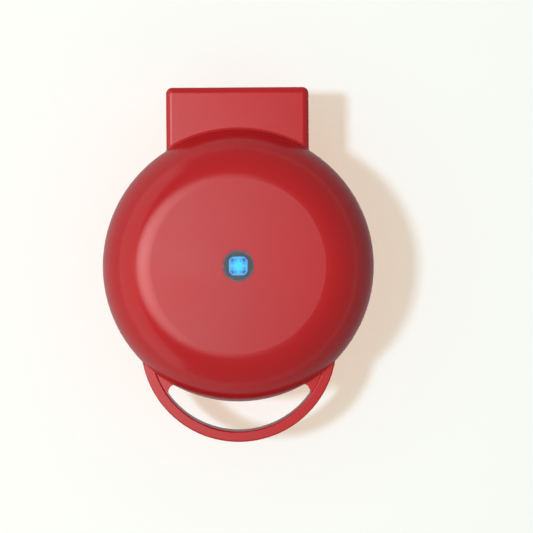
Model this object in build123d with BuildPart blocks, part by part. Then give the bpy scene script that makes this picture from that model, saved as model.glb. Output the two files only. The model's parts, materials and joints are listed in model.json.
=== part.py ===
from build123d import *
from math import acos, asin, cos, hypot, radians, sin, sqrt
import os

os.makedirs("parts", exist_ok=True)

# Overall form, in millimetres. The origin is on the table, on the axis of the round body.
lid_radius = 66.0               # widest circle of the lid
closing_gap = 0.6               # air between the two rims when shut
lid_rise = 37.0                 # plane where lid and base meet, to the flat top of the lid
lid_widest_rise = 5.0           # closing plane to the widest circle of the lid
lid_tuck = 0.4                  # both rims lie this far inside the lid's widest circle
lid_flat_radius = 41.5          # flat disc on top of the lid
base_curve_width = 22.6         # rim of the base to the flat disc under it
shell_wall = 2.4                # moulded wall of both shells
foot_height = 3.0               # base floor above the table
floor_space = 9.0               # room for the wiring between the base's floor and its heat shield

# Hinge block behind the lid and the tab behind the base
block_width = 69.4              # across the block, left to right
hinge_setback = 8.5             # pin axis to the back face of the block
block_rise = 8.5                # pin axis to the top face of the block
block_edge_radius = 3.0         # rounded edges of block and tab
block_seam_radius = 1.7         # hollow fillet where the block meets the dome
swing_clearance = 0.55          # air round everything that turns in the trough
trough_web = 1.6                # plastic between the bowl and the trough
back_wall_drop = 6.0            # the block's back wall ends this far below the pin axis
tab_depth = 29.0                # pin axis to the underside of the tab

# Hinge pins, arms and wire sleeve
pin_radius = 2.0
pin_running_clearance = 0.05    # pins in the ears of the lid
pin_fixed_clearance = 0.02      # pins in the arms of the base
pin_inset = 0.4                 # pin end below the outer face of the ear
pin_overhang = 1.0              # pin past the inner face of its arm
arm_width = 6.0
arm_side_clearance = 0.4        # arm to ear
arm_root_depth = 5.6            # underside of the arm's root below the pin axis
arm_top_drop = 0.4              # top of the arm below the pin axis
barrel_radius = 4.5
cradle_width = 8.0              # middle arm, which carries the wire sleeve
sleeve_length = 20.0
sleeve_outer_radius = 2.9
sleeve_bore_radius = 2.0
sleeve_clearance = 0.05

# Finger loops at the front, one on each shell
finger_gap = 14.5               # open space between the body and the band
handle_band = 5.1               # width of the band, seen from above
handle_arc_radius = 47.6        # outer edge of the band
handle_edge_radius = 0.7        # rounded edges of the band
upper_handle_thickness = 8.2
lower_handle_thickness = 7.6
slot_end_width = 5.5            # open space between body and band where it ends
slot_corner_radius = 2.2
slot_corner_share = 0.45        # largest share of the slot's end that one corner takes up
web_recess = 0.8                # filled ends of the crescent lie below the band

# Rings round the plates
frame_ring_width = 3.6          # ring seen between a plate and its shell
frame_thickness = 2.4
frame_skirt_wall = 1.6
frame_plate_clearance = 0.3
frame_shell_clearance = 0.3

# Screws and the posts that take them
post_count = 4
post_start_angle = 45.0
post_radius = 3.0
post_gap = 0.4                  # post to the wall of the heat shield
plate_screw_radius = 1.3
plate_screw_length = 16.0
screw_head_radius = 2.2
screw_head_height = 1.5
screw_clearance = 0.1
small_screw_radius = 1.2
small_screw_length = 5.5
driver_slot_width = 0.7
driver_slot_depth = 0.6

# Waffle plates: both plates are the same casting
cavity_depth = 9.4              # rim of the plate to the floor between the pegs
cavity_draft = 1.2              # the pan narrows by this much towards its floor
plate_thickness = 3.0
pan_wall = 2.0
flange_margin = 0.6             # plate beyond the heads of its screws
grid_pitch = 15.0               # peg to peg
grid_columns = 7
grid_rows = 6
peg_root = 11.4                 # peg width at the pan floor
peg_height = 7.2
peg_draft = 17.0                # slope of the peg sides, in degrees
peg_margin = 4.0                # pegs are cut off this far inside the pan
peg_smallest_width = 6.0        # narrower cut-off pegs are left out
plate_boss_radius = 4.0
plate_boss_margin = 3.8         # boss to the wall of the pan

# Heating elements, clamps and shields
element_tube_radius = 3.3
element_boss_gap = 3.7          # ring to the bosses round it
element_gap_angle = 40.0        # open part of the ring, in degrees
element_pin_radius = 1.8
element_pin_length = 10.0       # from the middle of the tube, away from the plate
element_clearance = 0.05
clamp_overlap = 6.0             # clamp inside the middle of the element's ring
clamp_margin = 5.0              # clamp beyond the screws that hold it
clamp_thickness = 1.0
shield_thickness = 0.8
shield_air = 3.4                # clamp to the floor of the shield
shield_hole_radius = 3.4

# Thermostat on the upper plate, fuse on the lower one
thermostat_radius = 8.2
thermostat_height = 7.6
thermostat_edge_radius = 0.6
thermostat_gap = 4.5            # thermostat to the element's ring
thermostat_ear_radius = 2.8
thermostat_ear_thickness = 1.2
thermostat_screw_spacing = 23.0
thermostat_screw_length = 3.4
thermostat_terminal_spacing = 8.0
thermostat_terminal_radius = 1.1
thermostat_terminal_length = 2.2
fuse_radius = 2.2
fuse_length = 12.0
strap_thickness = 0.6
strap_width = 6.0
strap_foot = 4.0
strap_clearance = 0.05
fuse_wire_radius = 0.5
fuse_wire_length = 3.0

# Indicator light at the middle of the lid
light_hole_radius = 7.45
lens_radius = 7.15
lens_inset = 0.2                # lens face below the lid's top face
lens_flange_radius = 8.9
lens_flange_thickness = 1.0
light_seat_clearance = 0.05
jewel_width = 8.8
jewel_corner = 1.6              # cut corners
jewel_thickness = 1.5
jewel_table_width = 5.0         # flat at the middle of the facets
collar_radius = 9.2             # inside of the collar under the lid
collar_wall = 1.8
collar_clearance = 0.1          # housing in the collar
housing_wall = 1.2
housing_length = 3.9
housing_shelf = 0.8             # shelf under the jewel
window_radius = 3.4             # hole in the shelf, under the jewel
board_thickness = 1.0
board_clearance = 0.1
emitter_width = 5.0
emitter_height = 1.0
retainer_thickness = 0.9
retainer_width = 2.8
retainer_clearance = 0.03
collar_margin = 0.4             # collar past the retaining ring

# Feet
foot_radius = 6.0
foot_margin = 2.0               # flat floor beyond the feet
foot_recess = 0.8
foot_clearance = 0.1
foot_edge_radius = 0.8

# Cord inlet and what is behind it
gland_drop = 19.0               # pin axis to the inlet's axis
gland_bore_radius = 3.2
gland_radius = 5.4
gland_flange_radius = 7.6
gland_flange_thickness = 1.4
gland_length = 8.0
gland_boss_radius = 9.2
gland_boss_depth = 2.0          # boss inside the wall
gland_clearance = 0.05
cord_clamp_setback = 15.0       # clamp axis in front of the tab's back face
cord_clamp_spacing = 18.0
cord_clamp_width = 6.0
cord_clamp_thickness = 3.6
cord_clamp_post_radius = 3.4
terminal_block_length = 26.0
terminal_block_depth = 12.0
terminal_block_height = 7.0
terminal_setback = 11.0         # block's middle to the edge of the flat floor
terminal_spacing = 8.0
terminal_count = 3
terminal_well_depth = 2.0
terminal_screw_length = 3.0

# Leads
lead_radius = 1.2
lead_room = 0.4                 # air between a lead and what it passes
lead_bend = 3.9                 # largest bend of a lead
bend_share = 0.45               # part of a straight run that one bend may take up
lead_end_run = 6.0              # straight run that meets a terminal squarely
lead_overlap = 8.0              # lead inside the sleeve
light_lead_radius = 0.7
light_lead_half_spacing = 2.5
lead_notch_width = 4.6
lead_notch_depth = 5.6          # notch below the rim of the base
lead_notch_rise = 7.4           # notch above the rim of the lid
floor_run_height = 3.5          # wall height above the floor at which the base's lead starts to climb
# Points that a lead passes: offset to the side, beyond the shield's wall, and above the tab's floor or the rim
base_lead_points = ((5.3, 2.6, 1.9), (1.3, 7.2, 7.1), (0.0, 9.4, 18.6))
lid_lead_points = ((0.0, 5.2, 9.7), (0.0, 2.9, 18.7), (-0.7, 0.1, 26.0), (-2.3, -5.3, 30.2))
jumper_side = 9.7               # the jumper swings this far out, then passes under the light's collar
jumper_rear = 6.0
jumper_front = -10.0

# Tolerance for picking edges
near = 0.01

# Depths measured from a plate's rim, away from the closing plane
plate_back = cavity_depth + plate_thickness
element_depth = plate_back + element_tube_radius + element_clearance
clamp_face = plate_back + 2 * (element_tube_radius + element_clearance)
clamp_back = clamp_face + clamp_thickness
shield_face = clamp_back + shield_air
shield_back = shield_face + shield_thickness
ledge_face = plate_thickness
ledge_back = ledge_face + frame_thickness
post_face = ledge_back + shield_thickness
element_pin_end = element_depth + element_pin_length

# Outer form: the base is as deep as what it holds
floor_top = foot_height + shell_wall
closing_height = floor_top + floor_space + shield_back + closing_gap / 2
base_radius = lid_radius - lid_tuck
lid_rim_radius = base_radius
base_flat_radius = base_radius - base_curve_width
foot_circle = base_flat_radius - foot_margin - foot_radius
terminal_block_offset = base_flat_radius - terminal_setback
base_rim_height = closing_height - closing_gap / 2
lid_rim_height = closing_height + closing_gap / 2
lid_top = closing_height + lid_rise
lid_widest_height = closing_height + lid_widest_rise
swing_radius = hypot(hinge_setback - block_edge_radius, block_rise - block_edge_radius) + block_edge_radius
trough_radius = swing_radius + swing_clearance
hinge_y = base_radius + trough_web + trough_radius
hinge_z = closing_height
block_back = hinge_y + hinge_setback
block_top = hinge_z + block_rise
block_half = block_width / 2
block_inner_half = block_half - shell_wall
handle_center = handle_arc_radius - handle_band - finger_gap - lid_radius
handle_inner_radius = handle_arc_radius - handle_band
slot_end_radius = base_radius + slot_end_width
slot_half_angle = acos((slot_end_radius ** 2 + handle_center ** 2 - handle_inner_radius ** 2)
                       / (2 * slot_end_radius * abs(handle_center)))
arm_x = block_inner_half - arm_side_clearance - arm_width / 2
arm_root_y = hinge_y - trough_radius - shell_wall / 2
lid_lead_x = sleeve_length / 2 + lead_bend + arm_side_clearance
base_lead_x = -lid_lead_x
cord_clamp_y = block_back - cord_clamp_setback
gland_height = hinge_z - gland_drop
tab_floor_height = hinge_z - tab_depth
tab_floor_top = tab_floor_height + shell_wall

# Heights of the light's pieces, from the lid's top downwards
lens_seat = lid_top - shell_wall - light_seat_clearance
housing_top = lens_seat - lens_flange_thickness - light_seat_clearance
jewel_floor = housing_top - jewel_thickness
housing_end = housing_top - housing_length
board_top = housing_end + board_thickness
retainer_end = housing_end - light_seat_clearance - retainer_thickness
housing_radius = collar_radius - collar_clearance
collar_length = lid_top - shell_wall - retainer_end + collar_margin

# Radii of the plate and what surrounds it, from the shell inwards
frame_outer_radius = base_radius - shell_wall - frame_shell_clearance
frame_mouth_radius = frame_outer_radius - frame_ring_width
plate_flange_radius = frame_mouth_radius - frame_plate_clearance
post_circle = plate_flange_radius - flange_margin - screw_head_radius
shield_wall_radius = post_circle - post_radius - post_gap - shield_thickness
shield_flange_radius = post_circle + screw_head_radius
frame_ledge_radius = shield_wall_radius + frame_plate_clearance
cavity_radius = shield_wall_radius - pan_wall
cavity_floor_radius = cavity_radius - cavity_draft
peg_circle_radius = cavity_radius - peg_margin
plate_boss_circle = cavity_floor_radius - plate_boss_margin - plate_boss_radius
element_ring_radius = plate_boss_circle - plate_boss_radius - element_boss_gap - element_tube_radius
clamp_inner_radius = element_ring_radius - clamp_overlap
clamp_outer_radius = plate_boss_circle + clamp_margin
thermostat_offset = element_ring_radius - element_tube_radius - thermostat_gap - thermostat_radius

# Planes of the two plates: local z runs away from the closing plane, into each shell
lower_plane = Plane(origin=(0, 0, base_rim_height), x_dir=(1, 0, 0), z_dir=(0, 0, -1))
upper_plane = Plane(origin=(0, 0, lid_rim_height), x_dir=(1, 0, 0), z_dir=(0, 0, 1))


def lid_outline(inset):
    """Half section of the lid dome, this far inside its outer skin."""
    widest = lid_radius - inset
    rim = lid_rim_radius - inset
    top = lid_top - inset
    Line((0, lid_rim_height), (0, top))
    Line((0, top), (lid_flat_radius, top))
    EllipticalCenterArc((lid_flat_radius, lid_widest_height), widest - lid_flat_radius,
                        top - lid_widest_height, start_angle=0, arc_size=90)
    TangentArc((widest, lid_widest_height), (rim, lid_rim_height), tangent=(0, -1))
    Line((rim, lid_rim_height), (0, lid_rim_height))


def base_outline(inset):
    """Half section of the base bowl, this far inside its outer skin."""
    rim = base_radius - inset
    floor = foot_height + inset
    Line((0, base_rim_height), (0, floor))
    Line((0, floor), (base_flat_radius, floor))
    EllipticalCenterArc((base_flat_radius, base_rim_height), rim - base_flat_radius,
                        base_rim_height - floor, start_angle=270, arc_size=90)
    Line((rim, base_rim_height), (0, base_rim_height))


def handle_loop(rim_plane, thickness, rim_radius):
    """Finger loop that stands out from a shell's rim, thickening away from the closing plane."""
    side = sin(slot_half_angle)
    front = cos(slot_half_angle)
    reach = (handle_arc_radius + abs(handle_center)) / front
    across = rim_plane.y_dir.Y
    with BuildSketch(rim_plane) as web:
        with Locations((0, handle_center * across)):
            Circle(handle_arc_radius)
    extrude(web.sketch, amount=thickness - web_recess)
    with BuildSketch(rim_plane) as band:
        with Locations((0, handle_center * across)):
            Circle(handle_arc_radius)
            Circle(handle_inner_radius, mode=Mode.SUBTRACT)
    extrude(band.sketch, amount=thickness)
    with BuildSketch(rim_plane) as slot:
        with Locations((0, handle_center * across)):
            Circle(handle_inner_radius)
        with BuildLine():
            Polyline((0, 0), (reach * side, -reach * front * across),
                     (-reach * side, -reach * front * across), close=True)
        make_face(mode=Mode.INTERSECT)
        Circle(rim_radius, mode=Mode.SUBTRACT)
        fillet(slot.vertices(), min(slot_corner_radius, slot_corner_share * slot_end_width))
    extrude(slot.sketch, amount=thickness, mode=Mode.SUBTRACT)


def band_edges(builder, side):
    """Edges of the finger loop's band: both of its outer circles, and the inner one on the far side."""
    circles = builder.edges().filter_by(GeomType.CIRCLE)
    outer = circles.filter_by(lambda edge: abs(edge.radius - handle_arc_radius) < near)
    inner = circles.filter_by(lambda edge: abs(edge.radius - handle_inner_radius) < near)
    return outer + inner.group_by(Axis.Z)[side]


def seam_edge(edge, low, high):
    """Whether an edge is where the block or the tab runs into the round body."""
    middle = edge @ 0.5
    on_body = abs(hypot(middle.X, middle.Y) - base_radius) < base_radius - base_flat_radius
    inside = low + near < middle.Z < high + near and abs(middle.X) < block_half + near
    return on_body and inside and middle.Y > 0 and hypot(middle.X, middle.Y) < hinge_y - trough_radius


# Hinge block of the lid: its side outline carries the two round ears and the back wall
with BuildPart() as lid_block:
    with BuildSketch(Plane.YZ):
        with Locations((hinge_y, hinge_z)):
            Circle(swing_radius)
        with BuildLine():
            Polyline((0, lid_rim_height), (block_back, lid_rim_height), (block_back, block_top),
                     (0, block_top), close=True)
        make_face()
        with BuildLine():
            Polyline((0, hinge_z - swing_radius), (block_back, hinge_z - swing_radius),
                     (block_back, block_top), (0, block_top), close=True)
        make_face(mode=Mode.INTERSECT)
    extrude(amount=block_half, both=True)
    fillet(lid_block.edges().filter_by(lambda edge: abs((edge @ 0.5).Y - block_back) < near
                                       and abs((edge @ 0.5).Z - (hinge_z - swing_radius)) > near
                                       and ((edge @ 0.5).Z > block_top - near
                                            or abs((edge @ 0.5).X) > block_half - near))
           + lid_block.edges().filter_by(Axis.Y).group_by(Axis.Z)[-1], block_edge_radius)

# Air inside the lid: the dome, less the screw posts and the collar of the light
with BuildPart() as lid_cavity:
    with BuildSketch(Plane.XZ):
        with BuildLine():
            lid_outline(shell_wall)
        make_face()
    revolve(axis=Axis.Z)
    with BuildSketch(upper_plane.offset(post_face)):
        with PolarLocations(post_circle, post_count, start_angle=post_start_angle):
            Circle(post_radius)
    extrude(amount=lid_top - lid_rim_height, mode=Mode.SUBTRACT)
    with BuildSketch(upper_plane.offset(post_face)):
        with PolarLocations(post_circle, post_count, start_angle=post_start_angle):
            Circle(plate_screw_radius + screw_clearance)
    extrude(amount=plate_screw_length - post_face + screw_clearance)
    with BuildSketch(Plane.XY.offset(lid_top - shell_wall)):
        Circle(collar_radius + collar_wall)
        Circle(collar_radius, mode=Mode.SUBTRACT)
    extrude(amount=-collar_length, mode=Mode.SUBTRACT)

with BuildPart() as lid_shell:
    handle_loop(upper_plane, upper_handle_thickness, lid_rim_radius)
    fillet(band_edges(lid_shell, -1), handle_edge_radius)
    with BuildSketch(Plane.XZ):
        with BuildLine():
            lid_outline(0)
        make_face()
    revolve(axis=Axis.Z)
    add(lid_block.part)
    # Hollow fillet where the block runs into the dome
    fillet(lid_shell.edges().filter_by(lambda edge: seam_edge(edge, lid_rim_height, block_top)),
           block_seam_radius)
    add(lid_cavity.part, mode=Mode.SUBTRACT)
    # Room for the arms inside the block, up to the skin of the dome
    with BuildSketch(Plane.XY.offset(block_top - shell_wall)):
        with BuildLine():
            Polyline((-block_inner_half, 0), (block_inner_half, 0),
                     (block_inner_half, block_back - shell_wall),
                     (-block_inner_half, block_back - shell_wall), close=True)
        make_face()
        Circle(lid_rim_radius, mode=Mode.SUBTRACT)
    extrude(amount=-(block_rise - shell_wall + swing_radius), mode=Mode.SUBTRACT)
    # The back wall ends above the trough between the two ears
    with BuildSketch(Plane.XY.offset(hinge_z - back_wall_drop)):
        with Locations((0, block_back - shell_wall / 2)):
            Rectangle(2 * block_inner_half, 2 * shell_wall)
    extrude(amount=-swing_radius, mode=Mode.SUBTRACT)
    # Pin holes through the ears
    with BuildSketch(Plane.YZ):
        with Locations((hinge_y, hinge_z)):
            Circle(pin_radius + pin_running_clearance)
    extrude(amount=block_half, both=True, mode=Mode.SUBTRACT)
    # Notch through which the lead passes from the block into the dome
    with BuildSketch(Plane.XY.offset(lid_rim_height)):
        with Locations((lid_lead_x, lid_rim_radius - shell_wall / 2)):
            Rectangle(lead_notch_width, 3 * shell_wall)
        Circle(lid_rim_radius, mode=Mode.INTERSECT)
    extrude(amount=lead_notch_rise, mode=Mode.SUBTRACT)
    # Hole of the indicator light
    with BuildSketch(Plane.XY.offset(lid_top)):
        Circle(light_hole_radius)
    extrude(amount=-shell_wall, mode=Mode.SUBTRACT)
lid_shell.part.label = "lid_shell"
export_step(lid_shell.part, "parts/lid_shell.step")

# Tab behind the base, shaped like the block above it
with BuildPart() as base_tab:
    with BuildSketch(Plane.XY.offset(tab_floor_height)):
        with BuildLine():
            Polyline((-block_half, 0), (block_half, 0), (block_half, block_back),
                     (-block_half, block_back), close=True)
        make_face()
    extrude(amount=base_rim_height - tab_floor_height)
    fillet(base_tab.edges().filter_by(lambda edge: (edge @ 0.5).Z < tab_floor_height + near
                                      and (edge @ 0.5).Y > near)
           + base_tab.edges().filter_by(Axis.Z).group_by(Axis.Y)[-1], block_edge_radius)

# Air inside the base: the bowl and the tab, less the wall of the trough, the screw posts and the bosses
with BuildPart() as base_cavity:
    with BuildSketch(Plane.XY.offset(tab_floor_top)):
        with BuildLine():
            Polyline((-block_inner_half, 0), (block_inner_half, 0),
                     (block_inner_half, block_back - shell_wall),
                     (-block_inner_half, block_back - shell_wall), close=True)
        make_face()
    extrude(amount=base_rim_height - tab_floor_height - 2 * shell_wall)
    with BuildSketch(Plane.YZ):
        with Locations((hinge_y, hinge_z)):
            Circle(trough_radius + shell_wall)
    extrude(amount=block_half, both=True, mode=Mode.SUBTRACT)
    with BuildSketch(Plane.XZ):
        with BuildLine():
            base_outline(shell_wall)
        make_face()
    revolve(axis=Axis.Z)
    with BuildSketch(lower_plane.offset(post_face)):
        with PolarLocations(post_circle, post_count, start_angle=post_start_angle):
            Circle(post_radius)
    extrude(amount=base_rim_height, mode=Mode.SUBTRACT)
    with BuildSketch(lower_plane.offset(post_face)):
        with PolarLocations(post_circle, post_count, start_angle=post_start_angle):
            Circle(plate_screw_radius + screw_clearance)
    extrude(amount=plate_screw_length - post_face + screw_clearance)
    # Boss behind the cord inlet
    with BuildSketch(Plane.XZ.offset(-block_back)):
        with Locations((0, gland_height)):
            Circle(gland_boss_radius)
    extrude(amount=shell_wall + gland_boss_depth, mode=Mode.SUBTRACT)
    # Two posts for the cord clamp
    with BuildSketch(Plane.XY.offset(tab_floor_height)):
        with Locations((-cord_clamp_spacing / 2, cord_clamp_y), (cord_clamp_spacing / 2, cord_clamp_y)):
            Circle(cord_clamp_post_radius)
    extrude(amount=gland_height - tab_floor_height, mode=Mode.SUBTRACT)
    with BuildSketch(Plane.XY.offset(gland_height)):
        with Locations((-cord_clamp_spacing / 2, cord_clamp_y), (cord_clamp_spacing / 2, cord_clamp_y)):
            Circle(small_screw_radius + screw_clearance)
    extrude(amount=-(small_screw_length - cord_clamp_thickness + screw_clearance))

with BuildPart() as base_shell:
    handle_loop(lower_plane, lower_handle_thickness, base_radius)
    fillet(band_edges(base_shell, 0), handle_edge_radius)
    with BuildSketch(Plane.XZ):
        with BuildLine():
            base_outline(0)
        make_face()
    revolve(axis=Axis.Z)
    add(base_tab.part)
    fillet(base_shell.edges().filter_by(lambda edge: seam_edge(edge, tab_floor_height, base_rim_height)),
           block_seam_radius)
    # Trough in which the ears and the back wall of the block turn
    with BuildSketch(Plane.YZ):
        with Locations((hinge_y, hinge_z)):
            Circle(trough_radius)
    extrude(amount=block_half + shell_wall, both=True, mode=Mode.SUBTRACT)
    add(base_cavity.part, mode=Mode.SUBTRACT)
    # Two outer arms and the middle cradle
    for middle, width in ((-arm_x, arm_width), (0, cradle_width), (arm_x, arm_width)):
        with BuildSketch(Plane.YZ.offset(middle)) as arm:
            with BuildLine():
                Polyline((arm_root_y, hinge_z - arm_root_depth), (arm_root_y, hinge_z - arm_top_drop),
                         (hinge_y, hinge_z - arm_top_drop), (hinge_y, hinge_z - barrel_radius), close=True)
            make_face()
            with Locations((hinge_y, hinge_z)):
                Circle(barrel_radius)
        extrude(amount=width / 2, both=True)
    with BuildSketch(Plane.YZ):
        with Locations((hinge_y, hinge_z)):
            Circle(pin_radius + pin_fixed_clearance)
    extrude(amount=block_half, both=True, mode=Mode.SUBTRACT)
    with BuildSketch(Plane.YZ):
        with Locations((hinge_y, hinge_z)):
            Circle(sleeve_outer_radius + sleeve_clearance)
    extrude(amount=cradle_width, both=True, mode=Mode.SUBTRACT)
    # Notch through which the lead passes from the tab to the hinge
    with BuildSketch(Plane.XY.offset(base_rim_height)):
        with Locations((base_lead_x, hinge_y - trough_radius - shell_wall / 2)):
            Rectangle(lead_notch_width, 3 * shell_wall)
    extrude(amount=-lead_notch_depth, mode=Mode.SUBTRACT)
    # Cord inlet: a seat for the gland's flange, then the hole for its body
    with BuildSketch(Plane.XZ.offset(-block_back)):
        with Locations((0, gland_height)):
            Circle(gland_flange_radius + gland_clearance)
    extrude(amount=gland_flange_thickness, mode=Mode.SUBTRACT)
    with BuildSketch(Plane.XZ.offset(-block_back)):
        with Locations((0, gland_height)):
            Circle(gland_radius + gland_clearance)
    extrude(amount=2 * (shell_wall + gland_boss_depth), mode=Mode.SUBTRACT)
    # Seats of the feet
    with BuildSketch(Plane.XY.offset(foot_height)):
        with PolarLocations(foot_circle, post_count, start_angle=post_start_angle):
            Circle(foot_radius + foot_clearance)
    extrude(amount=foot_recess, mode=Mode.SUBTRACT)
base_shell.part.label = "base_shell"
export_step(base_shell.part, "parts/base_shell.step")


def on_circle(radius, count, start):
    """Points evenly spaced on a circle about the origin."""
    return [(radius * cos(radians(start + 360 * turn / count)),
             radius * sin(radians(start + 360 * turn / count))) for turn in range(count)]


def slotted_screws(plane, spots, radius, length):
    """Pan-head screws whose heads bear on the plane and whose shanks run along its normal."""
    with BuildPart() as screws:
        with BuildSketch(plane) as heads:
            with Locations(*spots):
                Circle(screw_head_radius)
        extrude(heads.sketch, amount=-screw_head_height)
        with BuildSketch(plane) as shanks:
            with Locations(*spots):
                Circle(radius)
        extrude(shanks.sketch, amount=length)
        with BuildSketch(plane.offset(-screw_head_height)) as driver_slots:
            with Locations(*spots):
                Rectangle(2 * screw_head_radius, driver_slot_width)
        extrude(driver_slots.sketch, amount=driver_slot_depth, mode=Mode.SUBTRACT)
    return screws.part


post_spots = on_circle(post_circle, post_count, post_start_angle)
boss_spots = on_circle(plate_boss_circle, post_count, 0)
thermostat_screw_half = thermostat_screw_spacing / 2
thermostat_screw_spots = [(-thermostat_screw_half, -thermostat_offset),
                          (thermostat_screw_half, -thermostat_offset)]
element_end_half = element_ring_radius * sin(radians(element_gap_angle / 2))
element_end_y = element_ring_radius * cos(radians(element_gap_angle / 2))
element_end_spots = [(-element_end_half, element_end_y), (element_end_half, element_end_y)]

# The plate assembly is drawn once, with its rim at z = 0 and its back along +z, and placed twice.
# Casting: a pan with a flange, square pegs on its floor and screw bosses on its back
with BuildPart() as plate_casting:
    with BuildSketch(Plane.XZ):
        with BuildLine():
            Polyline((0, cavity_depth), (cavity_floor_radius, cavity_depth), (cavity_radius, 0),
                     (plate_flange_radius, 0), (plate_flange_radius, plate_thickness),
                     (cavity_radius + pan_wall, plate_thickness),
                     (cavity_floor_radius + pan_wall, plate_back), (0, plate_back), close=True)
        make_face()
    revolve(axis=Axis.Z)
    with BuildSketch(Plane.XY.offset(cavity_depth), mode=Mode.PRIVATE) as pegs:
        with GridLocations(grid_pitch, grid_pitch, grid_columns, grid_rows):
            Rectangle(peg_root, peg_root)
        Circle(peg_circle_radius, mode=Mode.INTERSECT)
    for face in pegs.sketch.faces():
        extent = face.bounding_box().size
        if min(extent.X, extent.Y) > peg_smallest_width:
            extrude(face, amount=-peg_height, taper=peg_draft)
    with BuildSketch(Plane.XY.offset(plate_back)):
        with Locations(*boss_spots):
            Circle(plate_boss_radius)
    extrude(amount=clamp_face - plate_back)
    with BuildSketch(Plane.XY.offset(clamp_face)):
        with Locations(*boss_spots):
            Circle(small_screw_radius + screw_clearance)
    extrude(amount=-(small_screw_length - clamp_thickness + screw_clearance), mode=Mode.SUBTRACT)
    with BuildSketch(Plane.XY.offset(plate_back)):
        with Locations(*thermostat_screw_spots):
            Circle(small_screw_radius + screw_clearance)
    extrude(amount=-(thermostat_screw_length - thermostat_ear_thickness + screw_clearance),
            mode=Mode.SUBTRACT)
    with BuildSketch(Plane.XY):
        with Locations(*post_spots):
            Circle(plate_screw_radius + screw_clearance)
    extrude(amount=plate_thickness, mode=Mode.SUBTRACT)
    with BuildSketch(Plane.XY):
        with Locations(*post_spots):
            Circle(screw_head_radius + screw_clearance)
    extrude(amount=screw_head_height, mode=Mode.SUBTRACT)

# Frame: a ring between the plate and the shell, with a ledge under the plate's flange
with BuildPart() as frame_ring:
    frame_skirt_radius = frame_mouth_radius + frame_skirt_wall
    with BuildSketch(Plane.XZ):
        with BuildLine():
            Polyline((frame_mouth_radius, 0), (frame_outer_radius, 0), (frame_outer_radius, frame_thickness),
                     (frame_skirt_radius, frame_thickness), (frame_skirt_radius, ledge_back),
                     (frame_ledge_radius, ledge_back), (frame_ledge_radius, ledge_face),
                     (frame_mouth_radius, ledge_face), close=True)
        make_face()
    revolve(axis=Axis.Z)
    with BuildSketch(Plane.XY.offset(ledge_face)):
        with Locations(*post_spots):
            Circle(plate_screw_radius + screw_clearance)
    extrude(amount=frame_thickness, mode=Mode.SUBTRACT)

# Heating element: a tubular ring, open on one side, with a terminal pin at each end
with BuildPart() as element_ring:
    with BuildLine(Plane.XY.offset(element_depth)) as ring_path:
        CenterArc((0, 0), element_ring_radius, 90 + element_gap_angle / 2, 360 - element_gap_angle)
    with BuildSketch(Plane(origin=ring_path.line @ 0, z_dir=ring_path.line % 0)):
        Circle(element_tube_radius)
    sweep(path=ring_path.line)
    with BuildSketch(Plane.XY.offset(element_depth)):
        with Locations(*element_end_spots):
            Circle(element_pin_radius)
    extrude(amount=element_pin_length)

# Clamp: a steel ring that presses the element against the plate
with BuildPart() as clamp_ring:
    with BuildSketch(Plane.XY.offset(clamp_face)):
        Circle(clamp_outer_radius)
        Circle(clamp_inner_radius, mode=Mode.SUBTRACT)
        with Locations(*boss_spots):
            Circle(small_screw_radius + screw_clearance, mode=Mode.SUBTRACT)
        with Locations(*element_end_spots):
            Circle(shield_hole_radius, mode=Mode.SUBTRACT)
    extrude(amount=clamp_thickness)

# Heat shield: a steel dish behind the plate, held by its flange under the frame's ledge
with BuildPart() as shield_dish:
    shield_outer_radius = shield_wall_radius + shield_thickness
    with BuildSketch(Plane.XZ):
        with BuildLine():
            Polyline((0, shield_face), (shield_wall_radius, shield_face), (shield_wall_radius, ledge_back),
                     (shield_flange_radius, ledge_back), (shield_flange_radius, post_face),
                     (shield_outer_radius, post_face), (shield_outer_radius, shield_back),
                     (0, shield_back), close=True)
        make_face()
    revolve(axis=Axis.Z)
    with BuildSketch(Plane.XY.offset(ledge_back)):
        with Locations(*post_spots):
            Circle(plate_screw_radius + screw_clearance)
    extrude(amount=shield_thickness, mode=Mode.SUBTRACT)
    with BuildSketch(Plane.XY.offset(shield_face)):
        with Locations(*element_end_spots):
            Circle(shield_hole_radius)
    extrude(amount=shield_thickness, mode=Mode.SUBTRACT)

plate_screw_set = slotted_screws(Plane.XY.offset(screw_head_height), post_spots, plate_screw_radius,
                                 plate_screw_length - screw_head_height)
clamp_screw_plane = Plane(origin=(0, 0, clamp_back), x_dir=(1, 0, 0), z_dir=(0, 0, -1))
clamp_screw_set = slotted_screws(clamp_screw_plane, boss_spots, small_screw_radius, small_screw_length)

half_pieces = {
    "plate": plate_casting.part,
    "heating_element": element_ring.part,
    "element_clamp": clamp_ring.part,
    "plate_screws": plate_screw_set,
    "clamp_screws": clamp_screw_set,
}
for half, rim_plane in (("lower", lower_plane), ("upper", upper_plane)):
    for piece_name, shape in half_pieces.items():
        with BuildPart() as piece:
            add(rim_plane.location * shape)
        piece.part.label = f"{half}_{piece_name}"
        export_step(piece.part, f"parts/{half}_{piece_name}.step")

with BuildPart() as base_frame:
    add(lower_plane.location * frame_ring.part)
base_frame.part.label = "base_frame"
export_step(base_frame.part, "parts/base_frame.step")

with BuildPart() as lid_frame:
    add(upper_plane.location * frame_ring.part)
lid_frame.part.label = "lid_frame"
export_step(lid_frame.part, "parts/lid_frame.step")

with BuildPart() as lower_heat_shield:
    add(lower_plane.location * shield_dish.part)
lower_heat_shield.part.label = "lower_heat_shield"
export_step(lower_heat_shield.part, "parts/lower_heat_shield.step")

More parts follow.
